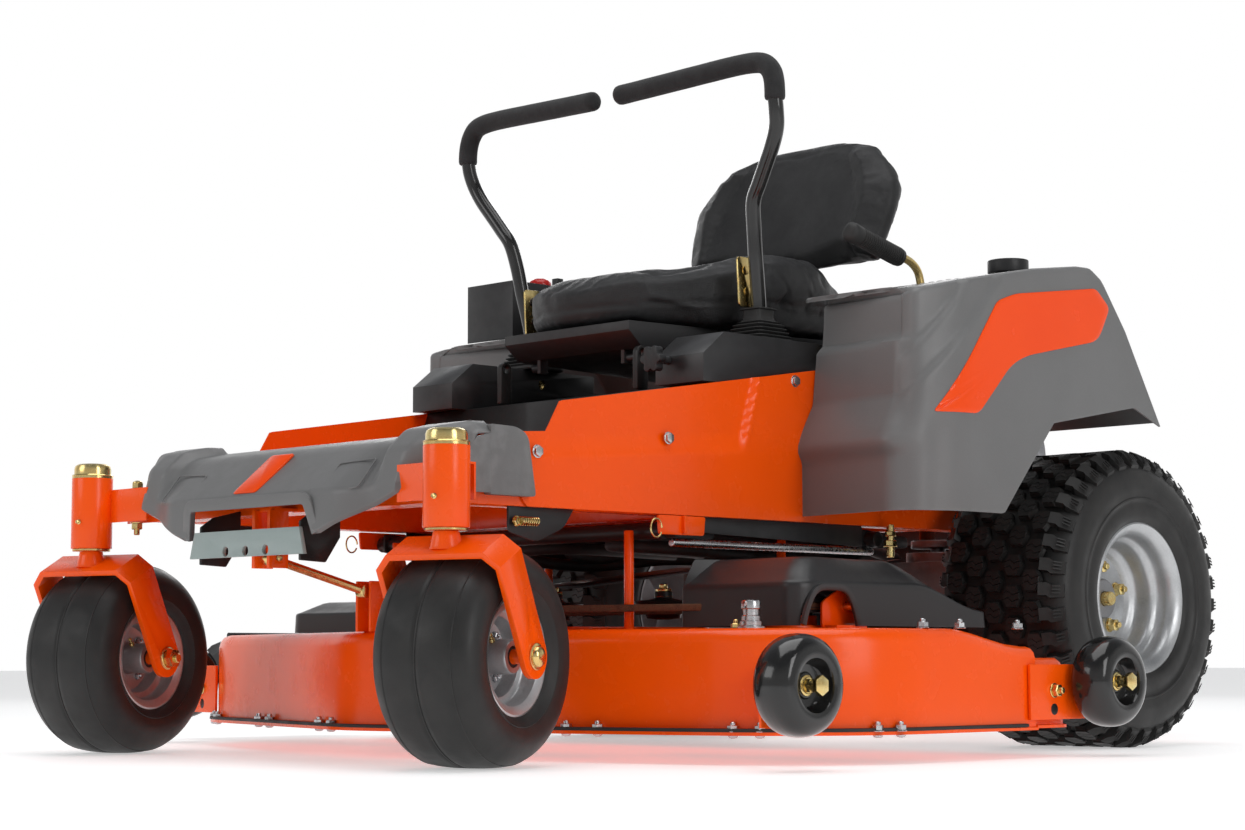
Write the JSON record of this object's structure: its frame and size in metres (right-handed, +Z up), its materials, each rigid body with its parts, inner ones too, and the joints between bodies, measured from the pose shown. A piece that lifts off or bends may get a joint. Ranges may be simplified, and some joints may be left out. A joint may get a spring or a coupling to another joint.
{
  "type": "zero turn mower",
  "caption": "Ride-on zero turn mower with a side-discharge cutting deck, swivelling front casters, twin steering levers and a rear engine.",
  "frame": {"origin": "on the ground under the middle of the machine's outer box", "axes": "+Z up; -Y is the way the mower drives forward; +X is its left side"},
  "size_m": [1.674, 1.8924, 1.0413],
  "materials": {
    "orange_paint": "gloss powder coat",
    "black_paint": "satin",
    "gloss_black": "gloss",
    "grey_plastic": "moulded satin",
    "dark_plastic": "moulded satin",
    "black_plastic": "moulded",
    "orange_plastic": "gloss",
    "red_plastic": "gloss",
    "yellow_zinc": "yellow zinc plate",
    "silver_paint": "satin",
    "bright_steel": "bright",
    "cast_alloy": "as cast",
    "rubber": "matt",
    "tyre": "matt",
    "foam": "matt foam",
    "vinyl": "fine grained vinyl",
    "belt": "fabric wrapped"
  },
  "bodies": {
    "chassis": {"main_frame": "orange_paint", "front_axle_beam": "orange_paint", "pivot_caps": "yellow_zinc", "side_panels": "orange_paint", "floor_pan": "orange_paint", "front_cover": "dark_plastic", "trim_inserts": "orange_plastic", "step_plate": "silver_paint", "front_brackets": "black_paint", "fender_left": "grey_plastic", "fender_right": "grey_plastic", "consoles": "dark_plastic", "lever_boots": "rubber", "engine_block": "cast_alloy", "engine_shroud": "black_plastic", "muffler": "bright_steel", "fuel_tank": "black_plastic", "battery": "black_plastic", "transaxles": "cast_alloy", "rear_guard": "black_paint", "chassis_bolts": "bright_steel"},
    "caster_left": {"caster_fork_left": "orange_paint"},
    "caster_right": {"caster_fork_right": "orange_paint"},
    "caster_wheel_left": {"caster_rim_left": "silver_paint", "caster_tyre_left": "tyre"},
    "caster_wheel_right": {"caster_rim_right": "silver_paint", "caster_tyre_right": "tyre"},
    "drive_wheel_left": {"drive_rim_left": "silver_paint", "drive_tyre_left": "tyre"},
    "drive_wheel_right": {"drive_rim_right": "silver_paint", "drive_tyre_right": "tyre"},
    "lever_yoke_left": {"lever_pivot_left": "yellow_zinc"},
    "lever_yoke_right": {"lever_pivot_right": "yellow_zinc"},
    "lever_arm_left": {"lever_left": "gloss_black"},
    "lever_arm_right": {"lever_right": "gloss_black"},
    "seat": {"seat_pan": "black_plastic", "seat_cushion": "vinyl", "seat_backrest": "vinyl"},
    "deck": {"deck_shell": "orange_paint", "deck_brackets": "orange_paint", "deck_bolts": "yellow_zinc", "belt_covers": "grey_plastic", "deck_belt": "belt"},
    "spindle_left": {"blade_left": "black_paint"},
    "spindle_centre": {"blade_centre": "black_paint"},
    "spindle_right": {"blade_right": "black_paint"},
    "gauge_front_left": {"gauge_wheel_front_left": "gloss_black"},
    "gauge_rear_left": {"gauge_wheel_rear_left": "gloss_black"},
    "gauge_front_right": {"gauge_wheel_front_right": "gloss_black"},
    "gauge_rear_right": {"gauge_wheel_rear_right": "gloss_black"},
    "deflector": {"chute_deflector": "black_plastic"},
    "link": {"front_link": "yellow_zinc"},
    "lift": {"lift_lever": "yellow_zinc"},
    "clutch": {"pto_clutch": "black_paint"},
    "pto_switch": {"pto_knob": "red_plastic"},
    "throttle": {"throttle_lever": "black_plastic"},
    "key": {"ignition_key": "bright_steel"},
    "tank_cap": {"fuel_cap": "black_plastic"},
    "star_knob": {"console_knob": "black_plastic"}
  },
  "joints": [
    {"name": "caster_left_swivel", "type": "hinge", "parent": "chassis", "child": "caster_left", "pos_m": [0.455, -0.865, 0.3], "axis": [0, 0, 1], "continuous": true},
    {"name": "caster_left_roll", "type": "hinge", "parent": "caster_left", "child": "caster_wheel_left", "pos_m": [0.4357, -0.80188, 0.1397], "axis": [0.9563, 0.2924, 0], "continuous": true},
    {"name": "drive_left_roll", "type": "hinge", "parent": "chassis", "child": "drive_wheel_left", "pos_m": [0.5415, 0.369, 0.2285], "axis": [1, 0, 0], "continuous": true},
    {"name": "lever_left_drive", "type": "hinge", "parent": "chassis", "child": "lever_yoke_left", "pos_m": [0.309, -0.119, 0.585], "axis": [1, 0, 0], "range_deg": [-16, 16], "deforming": ["lever_boots"]},
    {"name": "lever_left_swing", "type": "hinge", "parent": "lever_yoke_left", "child": "lever_arm_left", "pos_m": [0.309, -0.119, 0.6], "axis": [0, 1, 0], "range_deg": [0, 24]},
    {"name": "caster_right_swivel", "type": "hinge", "parent": "chassis", "child": "caster_right", "pos_m": [-0.341, -0.865, 0.3], "axis": [0, 0, 1], "continuous": true},
    {"name": "caster_right_roll", "type": "hinge", "parent": "caster_right", "child": "caster_wheel_right", "pos_m": [-0.3603, -0.80188, 0.1397], "axis": [0.9563, 0.2924, 0], "continuous": true},
    {"name": "drive_right_roll", "type": "hinge", "parent": "chassis", "child": "drive_wheel_right", "pos_m": [-0.4275, 0.369, 0.2285], "axis": [1, 0, 0], "continuous": true},
    {"name": "lever_right_drive", "type": "hinge", "parent": "chassis", "child": "lever_yoke_right", "pos_m": [-0.195, -0.119, 0.585], "axis": [1, 0, 0], "range_deg": [-16, 16]},
    {"name": "lever_right_swing", "type": "hinge", "parent": "lever_yoke_right", "child": "lever_arm_right", "pos_m": [-0.195, -0.119, 0.6], "axis": [0, -1, 0], "range_deg": [0, 24]},
    {"name": "seat_tilt", "type": "hinge", "parent": "chassis", "child": "seat", "pos_m": [0.057, -0.271, 0.592], "axis": [1, 0, 0], "range_deg": [0, 45]},
    {"name": "deck_lift", "type": "slide", "parent": "chassis", "child": "deck", "axis": [0, 0, 1], "range_m": [0, 0.0635]},
    {"name": "lift_lever_turn", "type": "hinge", "parent": "chassis", "child": "lift", "pos_m": [0.457, 0.129, 0.45], "axis": [-1, 0, 0], "range_deg": [0, 38]},
    {"name": "front_link_turn", "type": "hinge", "parent": "chassis", "child": "link", "pos_m": [0.057, -0.838, 0.275], "axis": [1, 0, 0], "range_deg": [0, 22]},
    {"name": "blade_centre_spin", "type": "hinge", "parent": "deck", "child": "spindle_centre", "pos_m": [0.057, -0.431, 0.2], "axis": [0, 0, 1], "continuous": true},
    {"name": "blade_left_spin", "type": "hinge", "parent": "deck", "child": "spindle_left", "pos_m": [0.512, -0.291, 0.2], "axis": [0, 0, 1], "continuous": true},
    {"name": "blade_right_spin", "type": "hinge", "parent": "deck", "child": "spindle_right", "pos_m": [-0.398, -0.291, 0.2], "axis": [0, 0, 1], "continuous": true},
    {"name": "clutch_spin", "type": "hinge", "parent": "chassis", "child": "clutch", "pos_m": [0.057, 0.604, 0.3], "axis": [0, 0, 1], "continuous": true},
    {"name": "gauge_front_left_roll", "type": "hinge", "parent": "deck", "child": "gauge_front_left", "pos_m": [0.798, -0.595, 0.104], "axis": [1, 0, 0], "continuous": true},
    {"name": "gauge_rear_left_roll", "type": "hinge", "parent": "deck", "child": "gauge_rear_left", "pos_m": [0.798, 0.066, 0.104], "axis": [1, 0, 0], "continuous": true},
    {"name": "gauge_front_right_roll", "type": "hinge", "parent": "deck", "child": "gauge_front_right", "pos_m": [-0.684, -0.459, 0.104], "axis": [1, 0, 0], "continuous": true},
    {"name": "gauge_rear_right_roll", "type": "hinge", "parent": "deck", "child": "gauge_rear_right", "pos_m": [-0.684, 0.051, 0.104], "axis": [1, 0, 0], "continuous": true},
    {"name": "deflector_lift", "type": "hinge", "parent": "deck", "child": "deflector", "pos_m": [-0.655, -0.201, 0.178], "axis": [0, 1, 0], "range_deg": [0, 75]},
    {"name": "pto_pull", "type": "slide", "parent": "chassis", "child": "pto_switch", "axis": [0, 0, 1], "range_m": [0, 0.015]},
    {"name": "throttle_turn", "type": "hinge", "parent": "chassis", "child": "throttle", "pos_m": [-0.363, 0.099, 0.76], "axis": [1, 0, 0], "range_deg": [-28, 28]},
    {"name": "key_turn", "type": "hinge", "parent": "chassis", "child": "key", "pos_m": [-0.303, 0.109, 0.78], "axis": [0, 0, 1], "range_deg": [0, 90]},
    {"name": "tank_cap_turn", "type": "hinge", "parent": "chassis", "child": "tank_cap", "pos_m": [0.497, 0.257, 0.74], "axis": [0, 0, 1], "continuous": true},
    {"name": "star_knob_turn", "type": "hinge", "parent": "chassis", "child": "star_knob", "pos_m": [0.309, -0.339, 0.568], "axis": [0, 1, 0], "continuous": true}
  ],
  "couplings": [
    {"joint": "lift_lever_turn", "follows": "deck_lift", "rad_per_m": 10.307},
    {"joint": "front_link_turn", "follows": "deck_lift", "rad_per_m": 5.9094},
    {"joint": "blade_left_spin", "follows": "blade_centre_spin", "ratio": 1},
    {"joint": "blade_right_spin", "follows": "blade_centre_spin", "ratio": 1},
    {"joint": "clutch_spin", "follows": "blade_centre_spin", "ratio": 1.1}
  ]
}
